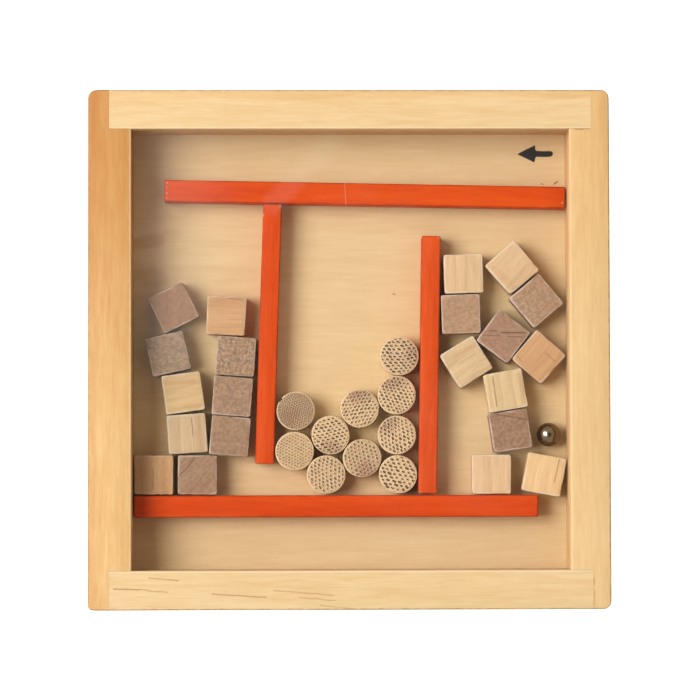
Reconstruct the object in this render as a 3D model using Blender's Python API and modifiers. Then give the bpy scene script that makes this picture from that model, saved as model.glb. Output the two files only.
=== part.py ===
"""A hand-held ball puzzle: a square pine tray under a clear cover, with painted stick walls, loose
square blocks of wood, loose slices of cane and one steel ball. Metres, +Z up, seen from above as
it is played: +X is to the right and +Y away. The origin is the middle of the tray's underside."""

import math

import bmesh
import bpy
from mathutils import Vector

# Room that touching pieces keep between them
PIECE_GAP = 0.0003

# Loose pieces
BLOCK_SIDE = 0.00965
BLOCK_THICKNESS = 0.0059
BLOCK_EDGE_RADIUS = 0.00035
DISC_DIAMETER = 0.0095
DISC_THICKNESS = 0.0059
DISC_EDGE_RADIUS = 0.0003
BALL_DIAMETER = 0.0061

# Painted walls, a little taller than the tallest loose piece
CROSS_WALL_WIDTH = 0.0055
UPRIGHT_WIDTH = 0.00475
WALL_EDGE_RADIUS = 0.0004
WALL_PROUD = 0.0002
TOP_WALL_LEAN = math.radians(-1.05)
LEFT_UPRIGHT_LEAN = math.radians(-1.9)
RIGHT_UPRIGHT_LEAN = math.radians(-1.0)

# Ways through for the ball, which the blocks and discs are too large for
GATE_CLEARANCE = 0.0018
HEAD_GATE_CLEARANCE = 0.0014
FAR_CORRIDOR_CLEARANCE = 0.0068
NEAR_CORRIDOR_CLEARANCE = 0.0070

# Frame bars
LEFT_STILE_WIDTH = 0.01075
RIGHT_STILE_WIDTH = 0.0100
RAIL_WIDTH = 0.0098
RABBET_DEPTH = 0.0055
GROOVE_DEPTH = 0.0030
LIP_BELOW = 0.0012
LIP_ABOVE = 0.0048
BAR_EDGE_RADIUS = 0.0006
CORNER_RADIUS = 0.0020
WORN_CORNER_RADIUS = 0.0013
CUT_OVERRUN = 0.0020

# Sheets
BASE_THICKNESS = 0.0030
COVER_THICKNESS = 0.0020
COVER_CLEARANCE = 0.0008

# Chamber sizes, as shares of the pitch at which their loose pieces lie
LEFT_CHAMBER_WIDTH_SHARE = 3.05
RIGHT_CHAMBER_WIDTH_SHARE = 3.31
MIDDLE_CHAMBER_WIDTH_SHARE = 3.72
CHAMBER_HEIGHT_SHARE = 7.33

# Each block: its place from the chamber's lower outer corner, its turn in degrees, its tone
LEFT_BLOCK_PLACE_SHARES = (
    (1.03, 4.74, 26.0, "grey"),
    (2.36, 4.54, -3.0, "orange"),
    (0.89, 3.58, 12.7, "grey"),
    (2.60, 3.51, -4.0, "brown"),
    (1.27, 2.59, 8.0, "pale"),
    (2.51, 2.50, -4.7, "grey"),
    (1.37, 1.56, 4.0, "pale"),
    (2.45, 1.50, -5.0, "grey"),
    (0.53, 0.52, 0.0, "tan"),
    (1.63, 0.52, 0.0, "grey"),
)
RIGHT_BLOCK_PLACE_SHARES = (
    (2.62, 5.59, 2.0, "pale"),
    (1.39, 5.74, 40.4, "pale"),
    (2.69, 4.57, 1.7, "grey"),
    (0.78, 4.90, 40.0, "grey"),
    (1.62, 4.00, 53.0, "grey"),
    (2.56, 3.36, 32.0, "pale"),
    (0.72, 3.48, 49.0, "orange"),
    (1.57, 2.63, 10.0, "pale"),
    (1.45, 1.62, 8.5, "brown"),
    (1.93, 0.52, 0.0, "tan"),
    (0.60, 0.51, -10.5, "pale"),
)
BALL_PLACE_SHARE = (0.46, 1.52)

# Each disc: its place from the right upright's foot, as shares of the discs' pitch
DISC_PLACE_SHARES = (
    (3.13, 2.16),
    (3.16, 1.13),
    (2.24, 1.54),
    (2.35, 0.53),
    (0.47, 3.56),
    (0.54, 2.56),
    (0.54, 1.54),
    (0.51, 0.53),
    (1.49, 2.22),
    (1.43, 0.95),
)

# Counts of faces round a curve
CORNER_STEPS = 5
EDGE_STEPS = 2
DISC_SIDES = 32
BALL_SIDES = 28
BALL_RINGS = 18

# Finishes: linear colour, roughness, metallic value
PINE = ((0.71, 0.47, 0.24), 0.55, 0.0)
HONEY_PINE = ((0.66, 0.38, 0.15), 0.55, 0.0)
PLYWOOD = ((0.76, 0.55, 0.30), 0.6, 0.0)
ORANGE_PAINT = ((0.76, 0.10, 0.02), 0.4, 0.0)
CANE = ((0.62, 0.47, 0.27), 0.65, 0.0)
BALL_STEEL = ((0.35, 0.33, 0.31), 0.12, 1.0)
ACRYLIC = ((0.95, 0.97, 0.98), 0.05, 0.0)
ACRYLIC_ALPHA = 0.15
BLOCK_TONES = {
    "pale": ((0.73, 0.52, 0.31), 0.6, 0.0),
    "tan": ((0.60, 0.40, 0.22), 0.6, 0.0),
    "orange": ((0.57, 0.30, 0.12), 0.6, 0.0),
    "grey": ((0.40, 0.29, 0.20), 0.6, 0.0),
    "brown": ((0.45, 0.31, 0.18), 0.6, 0.0),
}

# Sizes that follow from the ones above
block_pitch = BLOCK_SIDE + PIECE_GAP
disc_pitch = DISC_DIAMETER + PIECE_GAP
gate_width = BALL_DIAMETER + GATE_CLEARANCE
head_gate_width = BALL_DIAMETER + HEAD_GATE_CLEARANCE
far_corridor_width = BALL_DIAMETER + FAR_CORRIDOR_CLEARANCE
near_corridor_width = BALL_DIAMETER + NEAR_CORRIDOR_CLEARANCE
chamber_height = CHAMBER_HEIGHT_SHARE * block_pitch
left_chamber_width = LEFT_CHAMBER_WIDTH_SHARE * block_pitch
right_chamber_width = RIGHT_CHAMBER_WIDTH_SHARE * block_pitch
middle_chamber_width = MIDDLE_CHAMBER_WIDTH_SHARE * disc_pitch
inner_width = (left_chamber_width + UPRIGHT_WIDTH + middle_chamber_width
               + UPRIGHT_WIDTH + right_chamber_width)
inner_length = (near_corridor_width + CROSS_WALL_WIDTH + chamber_height
                + CROSS_WALL_WIDTH + far_corridor_width)
outer_width = LEFT_STILE_WIDTH + inner_width + RIGHT_STILE_WIDTH
outer_length = RAIL_WIDTH + inner_length + RAIL_WIDTH

# Heights, from the underside up
tallest_loose_piece = max(BLOCK_THICKNESS, DISC_THICKNESS, BALL_DIAMETER)
wall_height = tallest_loose_piece + WALL_PROUD
base_groove_bottom = LIP_BELOW
base_bottom = base_groove_bottom + PIECE_GAP
base_top = base_bottom + BASE_THICKNESS
base_groove_top = base_top + PIECE_GAP
seat_height = base_top + PIECE_GAP
cover_bottom = seat_height + wall_height + COVER_CLEARANCE
cover_top = cover_bottom + COVER_THICKNESS
cover_groove_bottom = cover_bottom - PIECE_GAP
cover_groove_top = cover_top + PIECE_GAP
frame_height = cover_groove_top + LIP_ABOVE

# Places in plan
left_edge = -outer_width / 2
right_edge = outer_width / 2
near_edge = -outer_length / 2
far_edge = outer_length / 2
left_inner = left_edge + LEFT_STILE_WIDTH
right_inner = right_edge - RIGHT_STILE_WIDTH
near_inner = near_edge + RAIL_WIDTH
far_inner = far_edge - RAIL_WIDTH
chamber_foot = near_inner + near_corridor_width + CROSS_WALL_WIDTH
chamber_head = chamber_foot + chamber_height
left_upright_foot = left_inner + left_chamber_width + UPRIGHT_WIDTH / 2
right_upright_foot = right_inner - right_chamber_width - UPRIGHT_WIDTH / 2


def clear_scene():
    for obj in list(bpy.data.objects):
        bpy.data.objects.remove(obj)


def new_collection(name):
    collection = bpy.data.collections.new(name)
    bpy.context.scene.collection.children.link(collection)
    return collection


def finish_material(name, finish, alpha=1.0):
    colour, roughness, metallic = finish
    material = bpy.data.materials.new(name)
    material.use_nodes = True
    shader = material.node_tree.nodes["Principled BSDF"]
    shader.inputs["Base Color"].default_value = (*colour, 1.0)
    shader.inputs["Roughness"].default_value = roughness
    shader.inputs["Metallic"].default_value = metallic
    shader.inputs["Alpha"].default_value = alpha
    return material


def mesh_from(bm, name):
    mesh = bpy.data.meshes.new(name)
    bm.to_mesh(mesh)
    bm.free()
    return mesh


def box_bmesh(width, length, height):
    """A box round its own middle."""
    bm = bmesh.new()
    bmesh.ops.create_cube(bm, size=1.0)
    bmesh.ops.scale(bm, vec=(width, length, height), verts=bm.verts)
    return bm


def round_edges(bm, edges, radius, steps):
    bmesh.ops.bevel(bm, geom=edges, offset=radius, offset_type="OFFSET", segments=steps,
                    profile=0.5, affect="EDGES")


def add_part(name, mesh, finish, location, turn=0.0, parent=None, alpha=1.0):
    part = bpy.data.objects.new(name, mesh)
    part.location = location
    part.rotation_euler.z = turn
    part.parent = parent
    if not mesh.materials:
        mesh.materials.append(None)
    part.material_slots[0].link = "OBJECT"
    part.material_slots[0].material = finish_material(name, finish, alpha)
    parts.objects.link(part)
    return part


def soften(part, radius):
    bevel = part.modifiers.new("softened_edges", "BEVEL")
    bevel.width = radius
    bevel.segments = EDGE_STEPS
    bevel.limit_method = "ANGLE"


def cut_box(part, name, low, high):
    """Cuts a box out of a part. Its corners are in the tray's own axes."""
    low, high = Vector(low), Vector(high)
    bm = box_bmesh(*(high - low))
    cutter = bpy.data.objects.new(f"{part.name}_{name}", mesh_from(bm, name))
    cutter.location = (low + high) / 2
    cutter.hide_render = True
    cutter.display_type = "WIRE"
    cutters.objects.link(cutter)
    cut = part.modifiers.new(name, "BOOLEAN")
    cut.operation = "DIFFERENCE"
    cut.solver = "EXACT"
    cut.object = cutter


def stile(name, finish, outer_face, inner_face, corner_radii):
    """A full-length side bar. Its rabbets take the rails' ends, and its grooves the sheets.
    corner_radii holds the far and the near outer corner's radius."""
    side = math.copysign(1.0, inner_face - outer_face)
    width = abs(inner_face - outer_face)
    bm = box_bmesh(width, outer_length, frame_height)
    for end, radius in zip((1.0, -1.0), corner_radii):
        corner = [e for e in bm.edges
                  if all(v.co.x * side < 0 and v.co.y * end > 0 for v in e.verts)
                  and abs(e.verts[0].co.z - e.verts[1].co.z) > frame_height / 2]
        round_edges(bm, corner, radius, CORNER_STEPS)
    rims = [e for e in bm.edges
            if abs(e.verts[0].co.z - e.verts[1].co.z) < frame_height / 2]
    round_edges(bm, rims, BAR_EDGE_RADIUS, EDGE_STEPS)
    middle = (outer_face + inner_face) / 2
    part = add_part(name, mesh_from(bm, name), finish, (middle, 0.0, frame_height / 2))

    past_face = inner_face + side * CUT_OVERRUN
    groove_floor = inner_face - side * GROOVE_DEPTH
    for groove, bottom, top in GROOVES:
        cut_box(part, groove,
                (min(groove_floor, past_face), near_inner - CUT_OVERRUN, bottom),
                (max(groove_floor, past_face), far_inner + CUT_OVERRUN, top))
    cheek = inner_face - side * RABBET_DEPTH
    for end, edge, inner in (("far", far_edge, far_inner), ("near", near_edge, near_inner)):
        outward = math.copysign(1.0, edge)
        shoulder = inner - outward * PIECE_GAP
        past_end = edge + outward * CUT_OVERRUN
        cut_box(part, f"{end}_rabbet",
                (min(cheek, past_face), min(shoulder, past_end), -CUT_OVERRUN),
                (max(cheek, past_face), max(shoulder, past_end), frame_height + CUT_OVERRUN))
    return part


def rail(name, finish, outer_face, inner_face):
    """An end bar, which lies in the stiles' rabbets."""
    side = math.copysign(1.0, inner_face - outer_face)
    start = left_inner - RABBET_DEPTH + PIECE_GAP
    finish_end = right_inner + RABBET_DEPTH - PIECE_GAP
    length = finish_end - start
    bm = box_bmesh(length, RAIL_WIDTH, frame_height)
    long_edges = [e for e in bm.edges if abs(e.verts[0].co.x - e.verts[1].co.x) > length / 2]
    round_edges(bm, long_edges, BAR_EDGE_RADIUS, EDGE_STEPS)
    place = ((start + finish_end) / 2, (outer_face + inner_face) / 2, frame_height / 2)
    part = add_part(name, mesh_from(bm, name), finish, place)

    groove_floor = inner_face - side * GROOVE_DEPTH
    past_face = inner_face + side * CUT_OVERRUN
    for groove, bottom, top in GROOVES:
        cut_box(part, groove,
                (start - CUT_OVERRUN, min(groove_floor, past_face), bottom),
                (finish_end + CUT_OVERRUN, max(groove_floor, past_face), top))
    return part


def sheet(name, finish, bottom, thickness, alpha=1.0):
    """A sheet let into the grooves on all four sides."""
    let_in = GROOVE_DEPTH - PIECE_GAP
    width = inner_width + 2 * let_in
    length = inner_length + 2 * let_in
    bm = box_bmesh(width, length, thickness)
    place = ((left_inner + right_inner) / 2, (near_inner + far_inner) / 2, bottom + thickness / 2)
    return add_part(name, mesh_from(bm, name), finish, place, alpha=alpha)


def painted_wall(name, start, end, width):
    """A stick glued to the base, from one end's middle to the other's."""
    start, end = Vector(start), Vector(end)
    run = end - start
    bm = box_bmesh(run.length, width, wall_height)
    middle = (start + end) / 2
    place = (middle.x, middle.y, seat_height + wall_height / 2)
    part = add_part(name, mesh_from(bm, name), ORANGE_PAINT, place, math.atan2(run.y, run.x))
    soften(part, WALL_EDGE_RADIUS)
    return part


def top_wall_middle(x):
    """The top wall's middle line, at a place across the tray."""
    line_centre = (left_inner + gate_width + right_inner) / 2
    return chamber_head + CROSS_WALL_WIDTH / 2 + (x - line_centre) * math.tan(TOP_WALL_LEAN)


def under_top_wall(x):
    return top_wall_middle(x) - CROSS_WALL_WIDTH / 2 / math.cos(TOP_WALL_LEAN)


def upright_middle(foot, lean, y):
    """A point on an upright's middle line, at a height up the chamber."""
    return (foot - (y - chamber_foot) * math.tan(lean), y)


def chamber_corner(name, x):
    """The corner that a chamber's loose pieces are placed from, on the base."""
    corner = bpy.data.objects.new(name, None)
    corner.location = (x, chamber_foot, seat_height)
    parts.objects.link(corner)
    return corner


def build_frame():
    stile("left_stile", HONEY_PINE, left_edge, left_inner, (CORNER_RADIUS, WORN_CORNER_RADIUS))
    stile("right_stile", PINE, right_edge, right_inner, (CORNER_RADIUS, CORNER_RADIUS))
    rail("top_rail", PINE, far_edge, far_inner)
    rail("bottom_rail", PINE, near_edge, near_inner)
    sheet("base_panel", PLYWOOD, base_bottom, BASE_THICKNESS)
    sheet("clear_cover", ACRYLIC, cover_bottom, COVER_THICKNESS, alpha=ACRYLIC_ALPHA)


def build_walls():
    wall_left = left_inner + gate_width
    wall_right = right_inner - PIECE_GAP - CROSS_WALL_WIDTH / 2 * abs(math.sin(TOP_WALL_LEAN))
    painted_wall("top_wall", (wall_left, top_wall_middle(wall_left)),
                 (wall_right, top_wall_middle(wall_right)), CROSS_WALL_WIDTH)
    middle_line = chamber_foot - CROSS_WALL_WIDTH / 2
    painted_wall("bottom_wall", (left_inner + PIECE_GAP, middle_line),
                 (right_inner - gate_width, middle_line), CROSS_WALL_WIDTH)

    # The left upright stands on nothing: the ball passes under it, and its head meets the top wall
    drop = UPRIGHT_WIDTH / 2 * abs(math.sin(LEFT_UPRIGHT_LEAN))
    head = under_top_wall(left_upright_foot) - PIECE_GAP - drop
    painted_wall("left_upright",
                 upright_middle(left_upright_foot, LEFT_UPRIGHT_LEAN, chamber_foot + gate_width),
                 upright_middle(left_upright_foot, LEFT_UPRIGHT_LEAN, head), UPRIGHT_WIDTH)

    # The right upright stands on the bottom wall, and the ball passes over it
    rise = UPRIGHT_WIDTH / 2 * abs(math.sin(RIGHT_UPRIGHT_LEAN))
    head = under_top_wall(right_upright_foot) - head_gate_width
    painted_wall("right_upright",
                 upright_middle(right_upright_foot, RIGHT_UPRIGHT_LEAN,
                                chamber_foot + PIECE_GAP + rise),
                 upright_middle(right_upright_foot, RIGHT_UPRIGHT_LEAN, head), UPRIGHT_WIDTH)


def build_blocks(side, corner, inward, places):
    """The blocks of one chamber. inward is the way from its corner along X."""
    mesh = mesh_from(box_bmesh(BLOCK_SIDE, BLOCK_SIDE, BLOCK_THICKNESS), f"{side}_block")
    for number, (across, up, turn, tone) in enumerate(places, start=1):
        place = (inward * across * block_pitch, up * block_pitch, BLOCK_THICKNESS / 2)
        block = add_part(f"{side}_block_{number:02d}", mesh, BLOCK_TONES[tone], place,
                         math.radians(turn), corner)
        soften(block, BLOCK_EDGE_RADIUS)


def build_discs(corner):
    bm = bmesh.new()
    bmesh.ops.create_cone(bm, cap_ends=True, segments=DISC_SIDES, radius1=DISC_DIAMETER / 2,
                          radius2=DISC_DIAMETER / 2, depth=DISC_THICKNESS)
    mesh = mesh_from(bm, "cane_disc")
    mesh.shade_smooth()
    mesh.set_sharp_from_angle(angle=math.radians(35.0))
    for number, (across, up) in enumerate(DISC_PLACE_SHARES, start=1):
        place = (-across * disc_pitch, up * disc_pitch, DISC_THICKNESS / 2)
        disc = add_part(f"cane_disc_{number:02d}", mesh, CANE, place, parent=corner)
        soften(disc, DISC_EDGE_RADIUS)


def build_ball(corner):
    across, up = BALL_PLACE_SHARE
    bm = bmesh.new()
    bmesh.ops.create_uvsphere(bm, u_segments=BALL_SIDES, v_segments=BALL_RINGS,
                              radius=BALL_DIAMETER / 2)
    mesh = mesh_from(bm, "steel_ball")
    mesh.shade_smooth()
    place = (-across * block_pitch, up * block_pitch, BALL_DIAMETER / 2)
    add_part("steel_ball", mesh, BALL_STEEL, place, parent=corner)


# The two grooves that run round the frame: name, bottom, top
GROOVES = (
    ("base_groove", base_groove_bottom, base_groove_top),
    ("cover_groove", cover_groove_bottom, cover_groove_top),
)

clear_scene()
parts = new_collection("wooden_labyrinth_game")
cutters = new_collection("cutters")
build_frame()
build_walls()
right_corner = chamber_corner("right_chamber_corner", right_inner)
build_blocks("left", chamber_corner("left_chamber_corner", left_inner), 1.0,
             LEFT_BLOCK_PLACE_SHARES)
build_blocks("right", right_corner, -1.0, RIGHT_BLOCK_PLACE_SHARES)
build_ball(right_corner)
build_discs(chamber_corner("middle_chamber_corner", right_upright_foot - UPRIGHT_WIDTH / 2))
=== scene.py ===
import math
import random

import bmesh
import bpy
from mathutils import Matrix, Vector, noise


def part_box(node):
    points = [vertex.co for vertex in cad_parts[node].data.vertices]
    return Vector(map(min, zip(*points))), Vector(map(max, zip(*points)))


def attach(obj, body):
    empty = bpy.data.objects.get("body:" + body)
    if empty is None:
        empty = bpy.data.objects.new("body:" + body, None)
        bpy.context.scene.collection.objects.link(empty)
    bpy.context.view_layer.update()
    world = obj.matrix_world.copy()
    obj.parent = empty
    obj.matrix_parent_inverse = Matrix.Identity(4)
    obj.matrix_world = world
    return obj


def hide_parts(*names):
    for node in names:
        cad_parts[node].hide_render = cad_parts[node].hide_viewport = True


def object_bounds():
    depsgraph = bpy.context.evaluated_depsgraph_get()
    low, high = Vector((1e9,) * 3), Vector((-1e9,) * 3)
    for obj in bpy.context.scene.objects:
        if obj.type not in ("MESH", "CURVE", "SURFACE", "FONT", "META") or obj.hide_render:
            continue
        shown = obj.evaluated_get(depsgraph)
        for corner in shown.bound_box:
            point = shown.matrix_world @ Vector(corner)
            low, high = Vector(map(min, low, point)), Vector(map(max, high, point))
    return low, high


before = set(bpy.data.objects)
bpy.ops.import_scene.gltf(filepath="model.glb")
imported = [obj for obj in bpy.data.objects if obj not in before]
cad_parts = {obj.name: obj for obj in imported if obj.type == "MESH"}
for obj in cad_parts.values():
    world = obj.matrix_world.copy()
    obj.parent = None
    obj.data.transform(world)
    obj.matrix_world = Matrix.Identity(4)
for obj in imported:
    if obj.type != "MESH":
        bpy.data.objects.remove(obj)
cad_low, cad_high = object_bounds()

MM = 0.001

# The photograph's viewpoint
CAMERA_PLACE = (-0.0140, -0.03145, 0.82375)
CAMERA_TURN = (2.223, -1.002, -0.140)
CAMERA_LENS = 166.6

# Studio light: one soft disc from the left, in a room that is pale all round and dark overhead
KEY_PLACE = (-0.985, 0.194, 1.250)
KEY_WIDTH = 1.05
KEY_POWER = 32.0
ROOM_AROUND = 0.72
ROOM_OVERHEAD = 0.08
FLOOR_GLOW = 0.8
FLOOR_SIZE = 16.0
ROOM_TINT = (1.0, 0.91, 0.82, 1)
DARK_FROM = 0.86
DARK_TO = 0.96
STUDIO_WHITE = 1.5

# How much of the studio light reaches each kind of piece down in the tray
BASE_LIT = 0.886
CANE_LIT = 0.895
LEFT_LIT = 0.874
RIGHT_LIT = 0.795
PAINT_LIT = 0.874
SHADED_PAINT_LIT = 0.854
PAINT_EDGE_LIT = 0.95

# Tray
CORNER_RADIUS = 2.0 * MM
CORNER_STEPS = 6
WORN_CORNER_RADIUS = 1.3 * MM
WORN_CORNER_STEPS = 5
BAR_EDGE = 0.45 * MM
INNER_EDGE = 0.2 * MM
SEAM = 0.02 * MM
RABBET = 5.5 * MM
GROOVE = 3.0 * MM
GROOVE_ROOM = 0.06 * MM
INNER_STRIP = 0.3 * MM
OVERRUN = 2.0 * MM

# Sticks and loose pieces
WALL_LEANS = {"top_wall": -1.05, "bottom_wall": 0.0, "left_upright": -1.9, "right_upright": -1.0}
WALL_EDGE = 0.35 * MM
WALL_SLICES = 24
WALL_WEAR = 0.05 * MM
WALL_WAVES = 160
END_REACH = {"left_upright": (0, 0.24 * MM, 0), "bottom_wall": (0.40 * MM, 0, 0)}
BLOCK_HALF = Vector((4.94, 4.94, 2.95)) * MM
BLOCK_EDGE_ROUND = 0.25 * MM
BLOCK_CORNER_ROUND = 0.55 * MM
BLOCK_SLICES = 10
BLOCK_TAPER = 0.10 * MM
BLOCK_WEAR = 0.07 * MM
BLOCK_WAVES = 420
NICK_DEPTH = 0.22 * MM
NICK_WAVES = 900
MOTTLE_DEPTH = 1.5
DISC_RADIUS = 4.88 * MM
DISC_EDGE_ROUND = 0.30 * MM
DISC_SIDES = 72
DISC_RINGS = 4
DISC_RING_SHARE = 0.22
DISC_LEVELS = (-0.5, -0.2, 0.2, 0.5)
DISC_WEAR = 0.10 * MM
DISC_WAVES = 330
OVAL_TURN = 37
BALL_CUTS = 23
ACRYLIC_IOR = 1.49

# Modelling
SAME_WITHIN = 0.02 * MM
MERGE_WITHIN = 0.002 * MM
SMALL_BEVEL_STEPS = 3
BEVEL_STEPS = 4

# Without a seed of its own the noise that wears the pieces would differ at every run
WEAR_SEED = 41
noise.seed_set(WEAR_SEED)


# Colours

def tone(red, green, blue, lit=1.0):
    """A finish's own colour, from how it looks under the studio light at that share of it."""
    linear = []
    for value in (red, green, blue):
        share = value / 255
        flat = share / 12.92 if share <= 0.04045 else ((share + 0.055) / 1.055) ** 2.4
        linear.append(min(0.95, flat / (STUDIO_WHITE * lit)))
    return (*linear, 1.0)


# Wiring of shader nodes

def feed(tree, socket, value):
    """Joins another node's output to a socket, or sets its plain value."""
    if isinstance(value, bpy.types.NodeSocket):
        tree.links.new(value, socket)
    else:
        socket.default_value = value


def sum_node(tree, operation, *values, clamp=False):
    """A Math node."""
    node = tree.nodes.new("ShaderNodeMath")
    node.operation = operation
    node.use_clamp = clamp
    for socket, value in zip(node.inputs, values):
        feed(tree, socket, value)
    return node.outputs[0]


def vector_node(tree, operation, *values):
    """A Vector Math node."""
    node = tree.nodes.new("ShaderNodeVectorMath")
    node.operation = operation
    for socket, value in zip(node.inputs, values):
        feed(tree, socket, value)
    return node.outputs["Value" if operation in ("LENGTH", "DOT_PRODUCT") else "Vector"]


def times(tree, first, second, clamp=False):
    """One value times another."""
    return sum_node(tree, "MULTIPLY", first, second, clamp=clamp)


def stretched(tree, vector, scale):
    """The vector times a scale for each axis."""
    return vector_node(tree, "MULTIPLY", vector, scale)


def scaled(tree, vector, factor):
    """The vector times one factor."""
    result = vector_node(tree, "SCALE", vector)
    feed(tree, result.node.inputs["Scale"], factor)
    return result


def soft_step(tree, value, start, end, low=0.0, high=1.0):
    """Eases from low to high as the value goes from start to end."""
    node = tree.nodes.new("ShaderNodeMapRange")
    node.interpolation_type = "SMOOTHSTEP"
    for label, given in (("Value", value), ("From Min", start), ("From Max", end),
                         ("To Min", low), ("To Max", high)):
        feed(tree, node.inputs[label], given)
    return node.outputs["Result"]


def noise_node(tree, vector, scale=1.0, detail=2.0, roughness=0.5):
    """Soft noise round 0.5."""
    node = tree.nodes.new("ShaderNodeTexNoise")
    feed(tree, node.inputs["Vector"], vector)
    for label, given in (("Scale", scale), ("Detail", detail), ("Roughness", roughness)):
        feed(tree, node.inputs[label], given)
    return node.outputs["Fac"]


def blend_colors(tree, share, first, second, kind="MIX"):
    """The first colour going to the second by a share."""
    node = tree.nodes.new("ShaderNodeMix")
    node.data_type = "RGBA"
    node.blend_type = kind
    feed(tree, node.inputs[0], share)
    feed(tree, node.inputs[6], first)
    feed(tree, node.inputs[7], second)
    return node.outputs[2]


def split(tree, vector):
    """The three parts of a vector."""
    node = tree.nodes.new("ShaderNodeSeparateXYZ")
    feed(tree, node.inputs[0], vector)
    return node.outputs


def join(tree, x, y, z):
    """A vector from three parts."""
    node = tree.nodes.new("ShaderNodeCombineXYZ")
    for socket, value in zip(node.inputs, (x, y, z)):
        feed(tree, socket, value)
    return node.outputs[0]


def bump_node(tree, height, strength, distance):
    """A Bump node's normal."""
    node = tree.nodes.new("ShaderNodeBump")
    feed(tree, node.inputs["Height"], height)
    node.inputs["Strength"].default_value = strength
    node.inputs["Distance"].default_value = distance
    return node.outputs["Normal"]


def start_group(name, inputs, outputs):
    """An empty shader group with named sockets: its tree, what comes in and what goes out."""
    tree = bpy.data.node_groups.new(name, "ShaderNodeTree")
    for label, kind, value in inputs:
        socket = tree.interface.new_socket(name=label, in_out="INPUT", socket_type=kind)
        socket.default_value = value
    for label, kind in outputs:
        tree.interface.new_socket(name=label, in_out="OUTPUT", socket_type=kind)
    entry = tree.nodes.new("NodeGroupInput")
    way_out = tree.nodes.new("NodeGroupOutput")
    return tree, entry.outputs, way_out.inputs


def use_group(tree, group, **values):
    """Places a group in a material, with its own values."""
    node = tree.nodes.new("ShaderNodeGroup")
    node.node_tree = group
    for label, value in values.items():
        feed(tree, node.inputs[label.replace("_", " ")], value)
    return node.outputs


def moved_by_seed(tree, entry, direction):
    """A group's place, moved along a direction by its seed, so that each piece differs."""
    return vector_node(tree, "ADD", entry["Vector"], scaled(tree, direction, entry["Seed"]))


def centred(tree, pattern):
    """A noise node's colour, made to go round zero."""
    return vector_node(tree, "SUBTRACT", pattern.node.outputs["Color"], (0.5, 0.5, 0.5))


FLOAT = "NodeSocketFloat"
VECTOR = "NodeSocketVector"
COLOR = "NodeSocketColor"


# Effects that several finishes share

def make_wood_grain():
    """Growth rings round a pith that lies along X, drifting tone, and fine fibres."""
    tree, entry, way_out = start_group("wood_grain", (
        ("Vector", VECTOR, (0, 0, 0)),
        ("Light", COLOR, (0.8, 0.6, 0.35, 1)),
        ("Dark", COLOR, (0.6, 0.4, 0.2, 1)),
        ("Pith", VECTOR, (0, 0.01, -0.03)),
        ("Ring Width", FLOAT, 0.002),
        ("Rings", FLOAT, 0.4),
        ("Drift", FLOAT, 0.6),
        ("Fibres", FLOAT, 0.3),
        ("Seed", FLOAT, 0.0),
    ), (("Color", COLOR), ("Height", FLOAT)))
    place = moved_by_seed(tree, entry, (0.731, 0.317, 0.571))
    drift = noise_node(tree, stretched(tree, place, (22, 240, 240)), detail=3.0, roughness=0.55)
    fibre = noise_node(tree, stretched(tree, place, (150, 3900, 3900)), detail=3.0, roughness=0.6)
    fine = noise_node(tree, stretched(tree, place, (420, 11000, 11000)), detail=2.0)
    streak = noise_node(tree, stretched(tree, place, (110, 950, 950)), detail=3.0, roughness=0.6)
    sway = noise_node(tree, stretched(tree, place, (16, 60, 60)), detail=2.0)
    across = split(tree, vector_node(tree, "SUBTRACT", entry["Vector"], entry["Pith"]))
    reach = vector_node(tree, "LENGTH", join(tree, 0.0, across[1], across[2]))
    swayed = sum_node(tree, "MULTIPLY_ADD", sway, 0.006, reach)
    turn = sum_node(tree, "FRACT", sum_node(tree, "DIVIDE", swayed, entry["Ring Width"]))
    late = soft_step(tree, turn, 0.35, 0.93)
    ring = times(tree, late, soft_step(tree, turn, 1.0, 0.93))
    dark = times(tree, ring, entry["Rings"])
    for pattern, strength, amount in ((drift, entry["Drift"], 2.0), (fibre, entry["Fibres"], 2.0),
                                      (streak, entry["Fibres"], 2.6)):
        dark = sum_node(tree, "MULTIPLY_ADD", sum_node(tree, "SUBTRACT", 0.5, pattern),
                        times(tree, strength, amount), dark)
    share = sum_node(tree, "ADD", dark, 0.3, clamp=True)
    feed(tree, way_out["Color"], blend_colors(tree, share, entry["Light"], entry["Dark"]))
    rough = sum_node(tree, "MULTIPLY_ADD", fine, 0.5, fibre)
    feed(tree, way_out["Height"], sum_node(tree, "MULTIPLY_ADD", ring, -0.35, rough))
    return tree


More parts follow.
